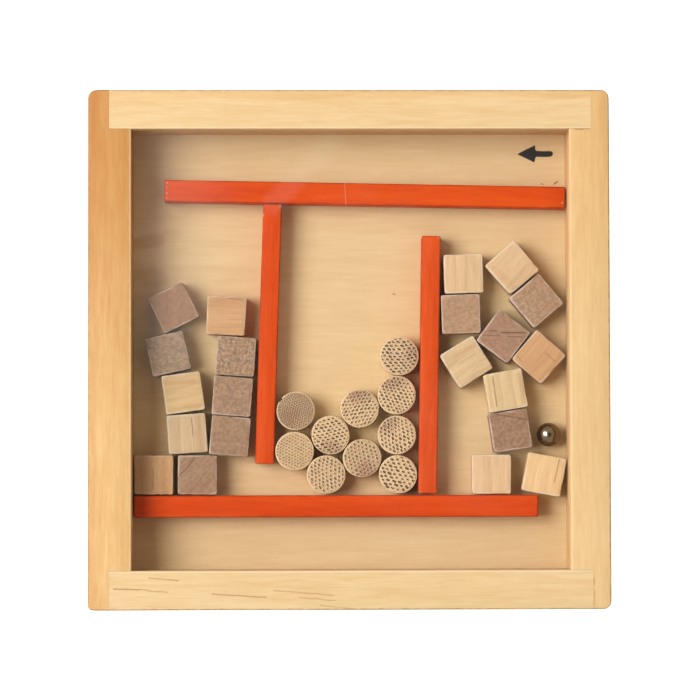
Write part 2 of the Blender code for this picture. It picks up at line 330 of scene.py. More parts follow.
def make_rim_nearness():
    """How near a point on a box is to one of its edges: 1 on the edge, 0 inside, ragged."""
    tree, entry, way_out = start_group("rim_nearness", (
        ("Vector", VECTOR, (0, 0, 0)),
        ("Half Size", VECTOR, (0.0048, 0.0048, 0.0048)),
        ("Width", FLOAT, 0.0004),
        ("Ragged", FLOAT, 0.0003),
        ("Seed", FLOAT, 0.0),
    ), (("Rim", FLOAT), ("Corner", FLOAT)))
    size = vector_node(tree, "ABSOLUTE", entry["Vector"])
    left = split(tree, vector_node(tree, "SUBTRACT", entry["Half Size"], size))
    low = sum_node(tree, "MINIMUM", left[0], left[1])
    high = sum_node(tree, "MAXIMUM", left[0], left[1])
    second = sum_node(tree, "MAXIMUM", low, sum_node(tree, "MINIMUM", high, left[2]))
    place = moved_by_seed(tree, entry, (0.31, 0.77, 0.53))
    wobble = noise_node(tree, place, scale=1300.0, detail=3.0, roughness=0.6)
    patch = noise_node(tree, place, scale=190.0, detail=1.0)
    moved = sum_node(tree, "MULTIPLY_ADD", sum_node(tree, "SUBTRACT", wobble, 0.5),
                     entry["Ragged"], second)
    wide = times(tree, entry["Width"], soft_step(tree, patch, 0.3, 0.7, 0.55, 1.5))
    rim = soft_step(tree, moved, wide, times(tree, wide, 0.25))
    feed(tree, way_out["Rim"], rim)
    most = sum_node(tree, "MAXIMUM", high, left[2])
    feed(tree, way_out["Corner"], soft_step(tree, most, times(tree, wide, 2.5), 0.0))
    return tree


def make_thin_line():
    """A thin ragged line from Start to End, such as a dark ring line, a crack or a scratch."""
    tree, entry, way_out = start_group("thin_line", (
        ("Vector", VECTOR, (0, 0, 0)),
        ("Start", VECTOR, (0, 0, 0)),
        ("End", VECTOR, (0.001, 0, 0)),
        ("Width", FLOAT, 0.0002),
        ("Ragged", FLOAT, 0.0003),
    ), (("Line", FLOAT),))
    wobble = noise_node(tree, entry["Vector"], scale=420.0, detail=3.0)
    shift = scaled(tree, centred(tree, wobble), entry["Ragged"])
    place = stretched(tree, vector_node(tree, "ADD", entry["Vector"], shift), (1, 1, 0))
    start = stretched(tree, entry["Start"], (1, 1, 0))
    end = stretched(tree, entry["End"], (1, 1, 0))
    run = vector_node(tree, "SUBTRACT", end, start)
    reach = vector_node(tree, "SUBTRACT", place, start)
    share = sum_node(tree, "DIVIDE", vector_node(tree, "DOT_PRODUCT", reach, run),
                     vector_node(tree, "DOT_PRODUCT", run, run), clamp=True)
    aside = vector_node(tree, "SUBTRACT", reach, scaled(tree, run, share))
    off = vector_node(tree, "LENGTH", aside)
    core = times(tree, entry["Width"], 0.3)
    feed(tree, way_out["Line"], soft_step(tree, off, entry["Width"], core))
    return tree


def make_mottle():
    """Blotches and small specks, as on weathered end grain."""
    tree, entry, way_out = start_group("mottle", (
        ("Vector", VECTOR, (0, 0, 0)),
        ("Size", FLOAT, 0.0012),
        ("Seed", FLOAT, 0.0),
    ), (("Blotch", FLOAT), ("Specks", FLOAT), ("Height", FLOAT)))
    place = moved_by_seed(tree, entry, (0.61, 0.23, 0.97))
    scale = sum_node(tree, "DIVIDE", 1.0, entry["Size"])
    broad = noise_node(tree, place, scale=scale, detail=4.0, roughness=0.65)
    small = noise_node(tree, place, scale=times(tree, scale, 4.0), detail=2.0)
    feed(tree, way_out["Blotch"], soft_step(tree, broad, 0.36, 0.64))
    feed(tree, way_out["Specks"], soft_step(tree, small, 0.55, 0.68))
    feed(tree, way_out["Height"], sum_node(tree, "MULTIPLY_ADD", small, 0.6, broad))
    return tree


def make_cane_pores():
    """A cut cane's face: rows of open pores with pale lips, in a fibrous ground."""
    tree, entry, way_out = start_group("cane_pores", (
        ("Vector", VECTOR, (0, 0, 0)),
        ("Pore Size", FLOAT, 0.00055),
        ("Stretch", FLOAT, 1.5),
        ("Open", FLOAT, 0.3),
        ("Seed", FLOAT, 0.0),
    ), (("Pore", FLOAT), ("Lip", FLOAT), ("Height", FLOAT)))
    place = moved_by_seed(tree, entry, (0.41, 0.67, 0.0))
    sway = scaled(tree, centred(tree, noise_node(tree, place, scale=130.0)), 1.6 * MM)
    bent = split(tree, vector_node(tree, "ADD", place, sway))
    narrow = sum_node(tree, "DIVIDE", bent[0], entry["Stretch"])
    flat = join(tree, sum_node(tree, "MULTIPLY_ADD", bent[1], 0.5, narrow), bent[1], 0.0)
    cells = tree.nodes.new("ShaderNodeTexVoronoi")
    cells.voronoi_dimensions = "2D"
    cells.inputs["Randomness"].default_value = 0.2
    feed(tree, cells.inputs["Scale"], sum_node(tree, "DIVIDE", 1.0, entry["Pore Size"]))
    feed(tree, cells.inputs["Vector"], flat)
    chance = split(tree, cells.outputs["Color"])
    size = times(tree, entry["Open"], soft_step(tree, chance[0], 0.0, 1.0, 0.75, 1.2))
    off = cells.outputs["Distance"]
    pore = soft_step(tree, off, size, times(tree, size, 0.55))
    lip = soft_step(tree, off, times(tree, size, 1.9), size)
    lip = sum_node(tree, "SUBTRACT", lip, pore, clamp=True)
    ground = noise_node(tree, place, scale=5200.0, detail=2.0)
    feed(tree, way_out["Pore"], pore)
    feed(tree, way_out["Lip"], lip)
    high = sum_node(tree, "MULTIPLY_ADD", lip, 0.35, times(tree, ground, 0.12))
    feed(tree, way_out["Height"], sum_node(tree, "SUBTRACT", high, pore))
    return tree


def make_handling():
    """Rubs and fine scuffs from handling: roughness that changes, and a little grime."""
    tree, entry, way_out = start_group("handling", (
        ("Vector", VECTOR, (0, 0, 0)),
        ("Low", FLOAT, 0.45),
        ("High", FLOAT, 0.65),
    ), (("Roughness", FLOAT), ("Grime", FLOAT)))
    broad = noise_node(tree, entry["Vector"], scale=90.0, detail=4.0, roughness=0.6)
    small = noise_node(tree, stretched(tree, entry["Vector"], (300, 1700, 1700)), detail=2.0)
    mixed = sum_node(tree, "MULTIPLY_ADD", small, 0.4, times(tree, broad, 0.6))
    feed(tree, way_out["Roughness"], soft_step(tree, mixed, 0.3, 0.7, entry["Low"], entry["High"]))
    feed(tree, way_out["Grime"], soft_step(tree, broad, 0.52, 0.78))
    return tree


WOOD_GRAIN = make_wood_grain()
RIM_NEARNESS = make_rim_nearness()
THIN_LINE = make_thin_line()
MOTTLE = make_mottle()
CANE_PORES = make_cane_pores()
HANDLING = make_handling()


# Finishes

def start_finish(name, centre=(0, 0, 0), turn=(0, 0, 0)):
    """A new material: its tree, its Principled shader and the place on the piece, from its middle."""
    finish = bpy.data.materials.new(name)
    finish.use_nodes = True
    tree = finish.node_tree
    shader = tree.nodes["Principled BSDF"]
    coordinates = tree.nodes.new("ShaderNodeTexCoord")
    mapping = tree.nodes.new("ShaderNodeMapping")
    mapping.vector_type = "TEXTURE"
    mapping.inputs["Location"].default_value = centre
    mapping.inputs["Rotation"].default_value = turn
    tree.links.new(coordinates.outputs["Object"], mapping.inputs["Vector"])
    return finish, tree, shader, mapping.outputs["Vector"]


def set_surface(tree, shader, colour, roughness, normal, specular=0.5):
    """Joins a finish's colour, roughness and bumps to its shader."""
    feed(tree, shader.inputs["Base Color"], colour)
    feed(tree, shader.inputs["Roughness"], roughness)
    feed(tree, shader.inputs["Normal"], normal)
    shader.inputs["Specular IOR Level"].default_value = specular


def add_lines(tree, place, lines):
    """The greatest of several thin lines, each given in millimetres from the piece's middle."""
    most = None
    for x0, y0, x1, y1, width, ragged, strength in lines:
        line = use_group(tree, THIN_LINE, Vector=place, Start=(x0 * MM, y0 * MM, 0),
                         End=(x1 * MM, y1 * MM, 0), Width=width * MM, Ragged=ragged * MM)["Line"]
        line = times(tree, line, strength)
        most = line if most is None else sum_node(tree, "MAXIMUM", most, line)
    return most


def pine_finish(name, centre, turn, half_size, light, dark, pith, seed, outer, ends=False,
                drift=0.45, pale=0.6, lines=(), fades=()):
    """Smooth sanded pine, its grain along X before the turn, with a painted highlight on the inner top
    arris, painted warm bounce shade on the inner face and painted shade on the outer top arrises. outer
    is the tray's outer side.
    """
    finish, tree, shader, place = start_finish(name, centre, turn)
    grain = use_group(tree, WOOD_GRAIN, Vector=place, Light=light, Dark=dark, Pith=pith,
                      Ring_Width=2.6 * MM, Rings=0.16, Drift=drift, Fibres=0.50, Seed=seed)
    colour = grain["Color"]
    parts = split(tree, place)
    for axis, start, end, tint, strength in fades:
        share = soft_step(tree, parts[axis], start * MM, end * MM, 0.0, strength)
        colour = blend_colors(tree, share, colour, tint, "MULTIPLY")
    handled = use_group(tree, HANDLING, Vector=place, Low=0.42, High=0.62)
    grime = times(tree, handled["Grime"], 0.07)
    colour = blend_colors(tree, grime, colour, tone(176, 128, 78))
    outward = times(tree, parts[1], outer)
    wobble = noise_node(tree, place, scale=700.0, detail=2.0)
    ragged = sum_node(tree, "MULTIPLY_ADD", sum_node(tree, "SUBTRACT", wobble, 0.5), 0.5 * MM, outward)
    # Painted highlight: a pale cream line along the inner top arris, where the light catches the rounded
    # edge. The pale argument sets its strength.
    up_top = soft_step(tree, parts[2], half_size[2] - 0.30 * MM, half_size[2] - 0.05 * MM)
    inner = soft_step(tree, ragged, -half_size[1] + 0.65 * MM, -half_size[1] + 0.3 * MM, 0.0, pale)
    painted_arris_highlight = times(tree, inner, up_top)
    colour = blend_colors(tree, painted_arris_highlight, colour, tone(255, 232, 188))
    # Painted warm bounce light and shade: the inner side face under the top is tinted pinker and darker.
    painted_bounce_shade = soft_step(tree, outward, -half_size[1] + 0.25 * MM, -half_size[1] + 0.08 * MM, 0.0, 0.45)
    painted_bounce_shade = times(tree, painted_bounce_shade, sum_node(tree, "SUBTRACT", 1.0, up_top))
    colour = blend_colors(tree, painted_bounce_shade, colour, (1.0, 0.80, 0.70, 1), "MULTIPLY")
    # Painted shade: the outer top arris, and the ends where asked, are darker where the rounded edge
    # turns away from the light.
    edge = soft_step(tree, ragged, half_size[1] - 0.5 * MM, half_size[1] - 0.12 * MM)
    if ends:
        along = sum_node(tree, "ABSOLUTE", parts[0])
        end_edge = soft_step(tree, along, half_size[0] - 0.5 * MM, half_size[0] - 0.12 * MM)
        edge = sum_node(tree, "MAXIMUM", edge, end_edge)
    high_up = soft_step(tree, parts[2], half_size[2] - 0.6 * MM, half_size[2] - 0.2 * MM, 0.0, 0.7)
    painted_arris_shade = times(tree, edge, high_up)
    colour = blend_colors(tree, painted_arris_shade, colour, tone(136, 108, 82))
    if lines:
        colour = blend_colors(tree, add_lines(tree, place, lines), colour, tone(158, 104, 54))
    bumps = bump_node(tree, grain["Height"], 0.30, 0.07 * MM)
    set_surface(tree, shader, colour, handled["Roughness"], bumps, 0.3)
    return finish


def paint_finish(name, centre, turn, half_size, base, seed, lines=()):
    """Orange-red brushed paint over wood, darker along the arrises, a corner or two rubbed bare, and any
    given dots painted pale as glints where the gloss catches the light.
    """
    finish, tree, shader, place = start_finish(name, centre, turn)
    deep = tone(214, 62, 8, PAINT_EDGE_LIT)
    grain = use_group(tree, WOOD_GRAIN, Vector=place, Light=base, Dark=deep, Pith=(0, 0.004, -0.02),
                      Ring_Width=1.3 * MM, Rings=0.12, Drift=0.55, Fibres=0.30, Seed=seed)
    rim = use_group(tree, RIM_NEARNESS, Vector=place, Half_Size=half_size, Width=0.38 * MM,
                    Ragged=0.3 * MM, Seed=seed)
    arris = times(tree, rim["Rim"], 0.5)
    colour = blend_colors(tree, arris, grain["Color"], tone(166, 46, 6, PAINT_EDGE_LIT))
    rubbed = noise_node(tree, place, scale=260.0, detail=2.0)
    bare = times(tree, rim["Corner"], soft_step(tree, rubbed, 0.5, 0.62, 0.0, 0.7))
    colour = blend_colors(tree, bare, colour, tone(246, 150, 110))
    # Painted highlight: the given lines are small pale glints where the glossy paint catches the light.
    if lines:
        colour = blend_colors(tree, add_lines(tree, place, lines), colour, tone(255, 170, 130))
    handled = use_group(tree, HANDLING, Vector=place, Low=0.40, High=0.58)
    bumps = bump_node(tree, grain["Height"], 0.4, 0.08 * MM)
    set_surface(tree, shader, colour, handled["Roughness"], bumps, 0.08)
    return finish


def block_finish(name, centre, turn, look, seed, grain_turn, rings, mottled, specked, lines, bands):
    """A small wooden block: its own tone, straight grain or mottled end grain, and pale rims that are
    partly rubbed wear and partly painted highlight.
    """
    base, dark, deep, rim_tone, line_tone, band_tone = look
    finish, tree, shader, place = start_finish(name, centre, turn)
    mapping = tree.nodes.new("ShaderNodeMapping")
    mapping.vector_type = "TEXTURE"
    mapping.inputs["Rotation"].default_value = grain_turn
    tree.links.new(place, mapping.inputs["Vector"])
    grain = use_group(tree, WOOD_GRAIN, Vector=mapping.outputs["Vector"], Light=base, Dark=dark,
                      Pith=(0, 0.006, -0.013), Ring_Width=1.4 * MM, Rings=rings, Drift=0.45,
                      Fibres=0.34, Seed=seed)
    colour = grain["Color"]
    if bands:
        colour = blend_colors(tree, add_lines(tree, place, bands), colour, band_tone)
    blotch = use_group(tree, MOTTLE, Vector=place, Size=0.9 * MM, Seed=seed)
    share = times(tree, blotch["Blotch"], MOTTLE_DEPTH * mottled)
    colour = blend_colors(tree, share, colour, deep)
    specks = times(tree, blotch["Specks"], specked, clamp=True)
    colour = blend_colors(tree, specks, colour, rim_tone)
    if lines:
        colour = blend_colors(tree, add_lines(tree, place, lines), colour, line_tone)
    # Pale rims: partly rubbed edge wear, partly painted highlight where the edges catch the light.
    rim = use_group(tree, RIM_NEARNESS, Vector=place, Half_Size=BLOCK_HALF, Width=0.42 * MM,
                    Ragged=0.35 * MM, Seed=seed)
    rim_wear_and_highlight = sum_node(tree, "MAXIMUM", times(tree, rim["Rim"], 0.9), times(tree, rim["Corner"], 0.7))
    colour = blend_colors(tree, rim_wear_and_highlight, colour, rim_tone)
    handled = use_group(tree, HANDLING, Vector=place, Low=0.5, High=0.72)
    height = sum_node(tree, "MULTIPLY_ADD", blotch["Height"], mottled, grain["Height"])
    bumps = bump_node(tree, height, 0.55, 0.14 * MM)
    set_surface(tree, shader, colour, handled["Roughness"], bumps, 0.3)
    return finish


def cane_finish(name, centre, turn, base, shade, shade_place, shade_reach, stretch, size,
                open_share, depth, seed):
    """A slice of cane: open pores on the cut ends with pale lips, partly painted highlight, and a smooth
    pale rind round the side.
    """
    finish, tree, shader, place = start_finish(name, centre, turn)
    pores = use_group(tree, CANE_PORES, Vector=place, Pore_Size=size, Stretch=stretch,
                      Open=open_share, Seed=seed)
    parts = split(tree, place)
    flat = join(tree, parts[0], parts[1], 0.0)
    around = vector_node(tree, "LENGTH", flat)
    inside = soft_step(tree, around, DISC_RADIUS - 0.15 * MM, DISC_RADIUS - 0.65 * MM)
    spot = (shade_place[0] * MM, shade_place[1] * MM, 0)
    off = vector_node(tree, "LENGTH", vector_node(tree, "SUBTRACT", flat, spot))
    shaded = soft_step(tree, off, shade_reach * MM, shade_reach * 0.3 * MM, 0.0, 0.9)
    tint = noise_node(tree, place, scale=420.0, detail=3.0)
    ground = blend_colors(tree, soft_step(tree, tint, 0.3, 0.7, 0.0, 0.4), base,
                          tone(196, 158, 116, CANE_LIT))
    ground = blend_colors(tree, shaded, ground, shade)
    # Pale lips round the pores: partly the cane's pale tissue, partly painted highlight where the raised
    # lips catch the light.
    lip = times(tree, times(tree, pores["Lip"], inside), 0.6 * depth)
    ground = blend_colors(tree, lip, ground, tone(255, 236, 196, CANE_LIT))
    pore = times(tree, times(tree, pores["Pore"], inside), 0.92 * depth)
    colour = blend_colors(tree, pore, ground, tone(106, 68, 42, CANE_LIT))
    ring = soft_step(tree, around, DISC_RADIUS - 0.5 * MM, DISC_RADIUS - 0.12 * MM, 0.0, 0.85)
    colour = blend_colors(tree, ring, colour, tone(252, 226, 184, CANE_LIT))
    handled = use_group(tree, HANDLING, Vector=place, Low=0.5, High=0.7)
    bumps = bump_node(tree, times(tree, pores["Height"], inside), 0.9, 0.25 * MM)
    set_surface(tree, shader, colour, handled["Roughness"], bumps, 0.3)
    return finish


def plywood_finish(name):
    """Pale birch plywood: fine lengthwise fibres, faint crosswise ones, small flecks, and soft painted
    shadow bands by the left wall.
    """
    finish, tree, shader, place = start_finish(name)
    grain = use_group(tree, WOOD_GRAIN, Vector=place, Light=tone(245, 216, 165, BASE_LIT),
                      Dark=tone(226, 189, 135, BASE_LIT), Pith=(0, 0.02, -0.4), Ring_Width=9.0 * MM,
                      Rings=0.10, Drift=0.35, Fibres=0.34, Seed=3.0)
    crosswise = noise_node(tree, stretched(tree, place, (2600, 240, 240)), detail=2.0)
    share = soft_step(tree, crosswise, 0.52, 0.75, 0.0, 0.12)
    colour = blend_colors(tree, share, grain["Color"], tone(214, 172, 124, BASE_LIT))
    flecks = add_lines(tree, place, (
        (11.3, 14.6, 11.8, 14.4, 0.24, 0.1, 0.6),
        (52.3, 42.4, 53.2, 43.0, 0.24, 0.1, 0.85),
        (49.1, 42.5, 49.5, 42.3, 0.22, 0.1, 0.7),
    ))
    colour = blend_colors(tree, flecks, colour, tone(118, 68, 44))
    # Painted shadow: soft darker bands on the base near the left wall.
    painted_shadow_bands = add_lines(tree, place, (
        (-54.0, 27.2, -48.0, 28.4, 2.4, 1.5, 0.65),
        (-51.0, 27.9, -44.0, 29.6, 2.2, 1.8, 0.25),
        (-54.0, 19.4, -48.0, 18.6, 3.2, 2.0, 0.65),
    ))
    colour = blend_colors(tree, painted_shadow_bands, colour, (0.80, 0.69, 0.58, 1), "MULTIPLY")
    handled = use_group(tree, HANDLING, Vector=place, Low=0.5, High=0.68)
    grime = times(tree, handled["Grime"], 0.06)
    colour = blend_colors(tree, grime, colour, tone(200, 154, 108))
    bumps = bump_node(tree, grain["Height"], 0.25, 0.05 * MM)
    set_surface(tree, shader, colour, handled["Roughness"], bumps, 0.25)
    return finish


def steel_finish(name, centre):
    """A dark polished steel ball, lightly scuffed."""
    finish, tree, shader, place = start_finish(name, centre)
    scuff = noise_node(tree, stretched(tree, place, (900, 2600, 1500)), detail=4.0, roughness=0.7)
    marks = soft_step(tree, scuff, 0.45, 0.7)
    colour = blend_colors(tree, marks, tone(176, 158, 134), tone(146, 126, 102))
    roughness = soft_step(tree, scuff, 0.3, 0.75, 0.16, 0.30)
    set_surface(tree, shader, colour, roughness, bump_node(tree, scuff, 0.12, 0.03 * MM))
    shader.inputs["Metallic"].default_value = 1.0
    return finish


def ink_finish(name):
    """Black marker ink on wood, brown where it is thin."""
    finish, tree, shader, place = start_finish(name)
    fill = noise_node(tree, place, scale=1500.0, detail=3.0)
    colour = blend_colors(tree, soft_step(tree, fill, 0.35, 0.7), tone(16, 12, 10), tone(34, 28, 28))
    roughness = soft_step(tree, fill, 0.3, 0.7, 0.45, 0.7)
    set_surface(tree, shader, colour, roughness, bump_node(tree, fill, 0.2, 0.05 * MM))
    return finish


def acrylic_finish(name):
    """A clear sheet that shows only by its reflections, faint haze, one hairline scratch and two soft
    painted reflections at the upper left.
    """
    finish, tree, shader, place = start_finish(name)
    fresnel = tree.nodes.new("ShaderNodeFresnel")
    side = tree.nodes.new("ShaderNodeNewGeometry").outputs["Backfacing"]
    feed(tree, fresnel.inputs["IOR"], soft_step(tree, side, 0.0, 1.0, ACRYLIC_IOR, 1 / ACRYLIC_IOR))
    hazy = noise_node(tree, stretched(tree, place, (38, 38, 38)), detail=3.0)
    haze = soft_step(tree, hazy, 0.5, 0.8, 0.0, 0.006)
    # The first line is a real hairline scratch. The other two are painted reflections: soft pale patches
    # standing in for the studio reflected in the sheet.
    marks = add_lines(tree, place, (
        (-0.6, 36.0, -1.0, 42.0, 0.10, 0.2, 0.07),
        (-18.9, 36.9, -3.0, 54.0, 3.8, 1.5, 0.012),
        (-54.0, 56.0, -54.0, 16.0, 33.0, 4.0, 0.018),
    ))
    haze_scratch_and_painted_reflection = sum_node(tree, "ADD", haze, marks)
    shown = sum_node(tree, "ADD", fresnel.outputs[0], haze_scratch_and_painted_reflection, clamp=True)
    feed(tree, shader.inputs["Alpha"], shown)
    feed(tree, shader.inputs["Metallic"], sum_node(tree, "DIVIDE", fresnel.outputs[0], shown))
    rub = noise_node(tree, place, scale=700.0, detail=3.0)
    colour = blend_colors(tree, rub, (0.94, 0.96, 0.97, 1), (0.99, 0.99, 1, 1))
    feed(tree, shader.inputs["Base Color"], colour)
    feed(tree, shader.inputs["Roughness"], soft_step(tree, rub, 0.3, 0.7, 0.04, 0.09))
    shader.inputs["Specular IOR Level"].default_value = 0.0
    return finish


# Modelling in edit mode

def to_object():
    """Back to object mode with nothing selected."""
    if bpy.context.object is not None and bpy.context.object.mode != "OBJECT":
        bpy.ops.object.mode_set(mode="OBJECT")
    bpy.ops.object.select_all(action="DESELECT")


def hold(piece):
    """Makes one piece the only selected and active one."""
    to_object()
    piece.select_set(True)
    bpy.context.view_layer.objects.active = piece


def edit(piece):
    """Into edit mode on one piece, with nothing selected in it."""
    hold(piece)
    bpy.ops.object.mode_set(mode="EDIT")
    bpy.ops.mesh.select_all(action="DESELECT")


def pick_all():
    """Selects everything in the piece that is being edited."""
    bpy.ops.mesh.select_all(action="SELECT")


def slice_at(spot, across):
    """A ring of new edges where a plane passes through the piece that is being edited."""
    pick_all()
    bpy.ops.mesh.bisect(plane_co=spot, plane_no=across)


def round_picked(width, steps):
    """Rounds the selected edges."""
    bpy.ops.mesh.bevel(offset=width, offset_type="OFFSET", segments=steps, profile=0.5,
                       affect="EDGES")


def pick(piece, kind, wanted):
    """Selects, in edit mode, the vertices, edges or faces that pass a test on their place."""
    bpy.ops.mesh.select_mode(type=kind)
    bpy.ops.mesh.select_all(action="DESELECT")
    shape = bmesh.from_edit_mesh(piece.data)
    shape.normal_update()
    for part in {"VERT": shape.verts, "EDGE": shape.edges, "FACE": shape.faces}[kind]:
        if wanted(part):
            part.select_set(True)
    shape.select_flush_mode()
    bmesh.update_edit_mesh(piece.data)


def slab(name, low, high):
    """A rectangular solid between two corners."""
    to_object()
    low, high = Vector(low), Vector(high)
    bpy.ops.mesh.primitive_cube_add(size=1, location=(low + high) / 2, scale=high - low)
    piece = bpy.context.object
    piece.name = name
    bpy.ops.object.transform_apply(location=True, rotation=True, scale=True)
    return piece


def use_modifier(piece, kind, **settings):
    """Adds a modifier and applies it."""
    hold(piece)
    modifier = piece.modifiers.new(kind.lower(), kind)
    for label, value in settings.items():
        setattr(modifier, label, value)
    bpy.ops.object.modifier_apply(modifier=modifier.name)


def cut_away(piece, low, high):
    """Cuts a rectangular notch or groove out of a piece."""
    cutter = slab("cutter", low, high)
    use_modifier(piece, "BOOLEAN", operation="DIFFERENCE", solver="EXACT", object=cutter)
    bpy.data.objects.remove(cutter, do_unlink=True)


def settle(piece, smooth_angle=35):
    """Tidies a finished mesh: doubles merged, faces outward, soft shading."""
    edit(piece)
    pick_all()
    bpy.ops.mesh.remove_doubles(threshold=MERGE_WITHIN)
    bpy.ops.mesh.normals_make_consistent(inside=False)
    hold(piece)
    bpy.ops.object.shade_smooth_by_angle(angle=math.radians(smooth_angle))
    to_object()


def copy_of(master, name):
    """A piece of its own with the master's shape."""
    piece = bpy.data.objects.new(name, master.data.copy())
    bpy.context.collection.objects.link(piece)
    return piece


def dress(piece, finish, body, node=None):
    """Gives a piece its finish and its body, and hides the CAD part that it stands for."""
    piece.data.materials.clear()
    piece.data.materials.append(finish)
    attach(piece, body)
    if node:
        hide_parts(node)


def bevel_edges(piece, wanted, width, steps):
    """Rounds the edges that pass a test on their two ends."""
    edit(piece)
    pick(piece, "EDGE", lambda e: wanted(e.verts[0].co, e.verts[1].co))
    round_picked(width, steps)
    to_object()


def near(a, b):
    """Whether two lengths are as good as the same."""
    return abs(a - b) < SAME_WITHIN


# Bars of the tray

def bar_blank(name, low, high, worn_corner=None):
    """A pine bar with its outer corners rounded in plan and its long edges softened."""
    piece = slab(name, low, high)
    long_x = high[0] - low[0] > high[1] - low[1]
    axis = 1 if long_x else 0
    inner = min(low[axis], high[axis], key=abs)

    def is_corner(a, b):
        """An upright edge at a corner of the tray."""
        upright = near(a.x, b.x) and near(a.y, b.y)
        return upright and near(abs(a.x), cad_high.x) and near(abs(a.y), cad_high.y)

    if worn_corner is not None:
        bevel_edges(piece, lambda a, b: is_corner(a, b) and a.y * worn_corner > 0,
                    WORN_CORNER_RADIUS, WORN_CORNER_STEPS)
        bevel_edges(piece, lambda a, b: is_corner(a, b) and a.y * worn_corner < 0,
                    CORNER_RADIUS, CORNER_STEPS)
    else:
        bevel_edges(piece, is_corner, CORNER_RADIUS, CORNER_STEPS)

    def is_rim(a, b):
        """An edge round the top or the underside."""
        return near(a.z, b.z) and (near(a.z, low[2]) or near(a.z, high[2]))

    def is_inner(a, b):
        """A rim edge on the tray's inner side."""
        return is_rim(a, b) and near(a[axis], inner) and near(b[axis], inner)

    def is_cut_end(a, b):
        """An edge of a rail's end, which meets a stile."""
        return long_x and near(a.x, b.x)

    bevel_edges(piece, is_inner, INNER_EDGE, SMALL_BEVEL_STEPS)
    bevel_edges(piece, lambda a, b: is_rim(a, b) and not is_cut_end(a, b)
                and abs(a[axis] - inner) > INNER_STRIP, BAR_EDGE, BEVEL_STEPS)
    return piece


def groove_spans():
    """The heights of the base's groove and of the cover's groove."""
    base_low, base_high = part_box("base_panel")
    cover_low, cover_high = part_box("clear_cover")
    return ((base_low.z - GROOVE_ROOM, base_high.z + GROOVE_ROOM),
            (cover_low.z - GROOVE_ROOM, cover_high.z + GROOVE_ROOM))


def cut_span(inner, side, depth):
    """From where to where a cut runs that starts in the open and goes into a bar's inner face."""
    return sorted((inner + side * depth, inner - side * OVERRUN))


def build_stile(node, side, worn_corner):
    """A full-length side bar: grooves on its inner face, a rabbet at each end."""
    low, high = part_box(node)
    near_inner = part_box("bottom_rail")[1].y
    far_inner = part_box("top_rail")[0].y
    piece = bar_blank(node + "_bar", low, high, worn_corner)
    inner = high.x if side < 0 else low.x
    first, last = cut_span(inner, side, GROOVE)
    for start, end in groove_spans():
        cut_away(piece, (first, near_inner - OVERRUN, start), (last, far_inner + OVERRUN, end))
    first, last = cut_span(inner, side, RABBET)
    for start, end in ((low.y - OVERRUN, near_inner), (far_inner, high.y + OVERRUN)):
        cut_away(piece, (first, start, low.z - OVERRUN), (last, end, high.z + OVERRUN))
    settle(piece)
    return piece


def build_rail(node, end, left_cheek, right_cheek):
    """An end bar with two grooves along its inner face. Its ends lap into the stiles."""
    low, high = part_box(node)
    low = Vector((left_cheek + SEAM, low.y, low.z))
    high = Vector((right_cheek - SEAM, high.y, high.z))
    if end < 0:
        high.y -= SEAM
    else:
        low.y += SEAM
    piece = bar_blank(node + "_bar", low, high)
    first, last = cut_span(high.y if end < 0 else low.y, end, GROOVE)
    for start, stop in groove_spans():
        cut_away(piece, (low.x - OVERRUN, first, start), (high.x + OVERRUN, last, stop))
    settle(piece)
    return piece


def along_y_lines(middle, lines):
    """Lines given in the tray's own millimetres, as a bar that lies along Y sees them."""
    x, y = middle.x / MM, middle.y / MM
    return [(y0 - y, x - x0, y1 - y, x - x1, *rest) for x0, y0, x1, y1, *rest in lines]


def middle_and_half(node):
    """A node's middle and half its size."""
    low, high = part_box(node)
    return (low + high) / 2, (high - low) / 2


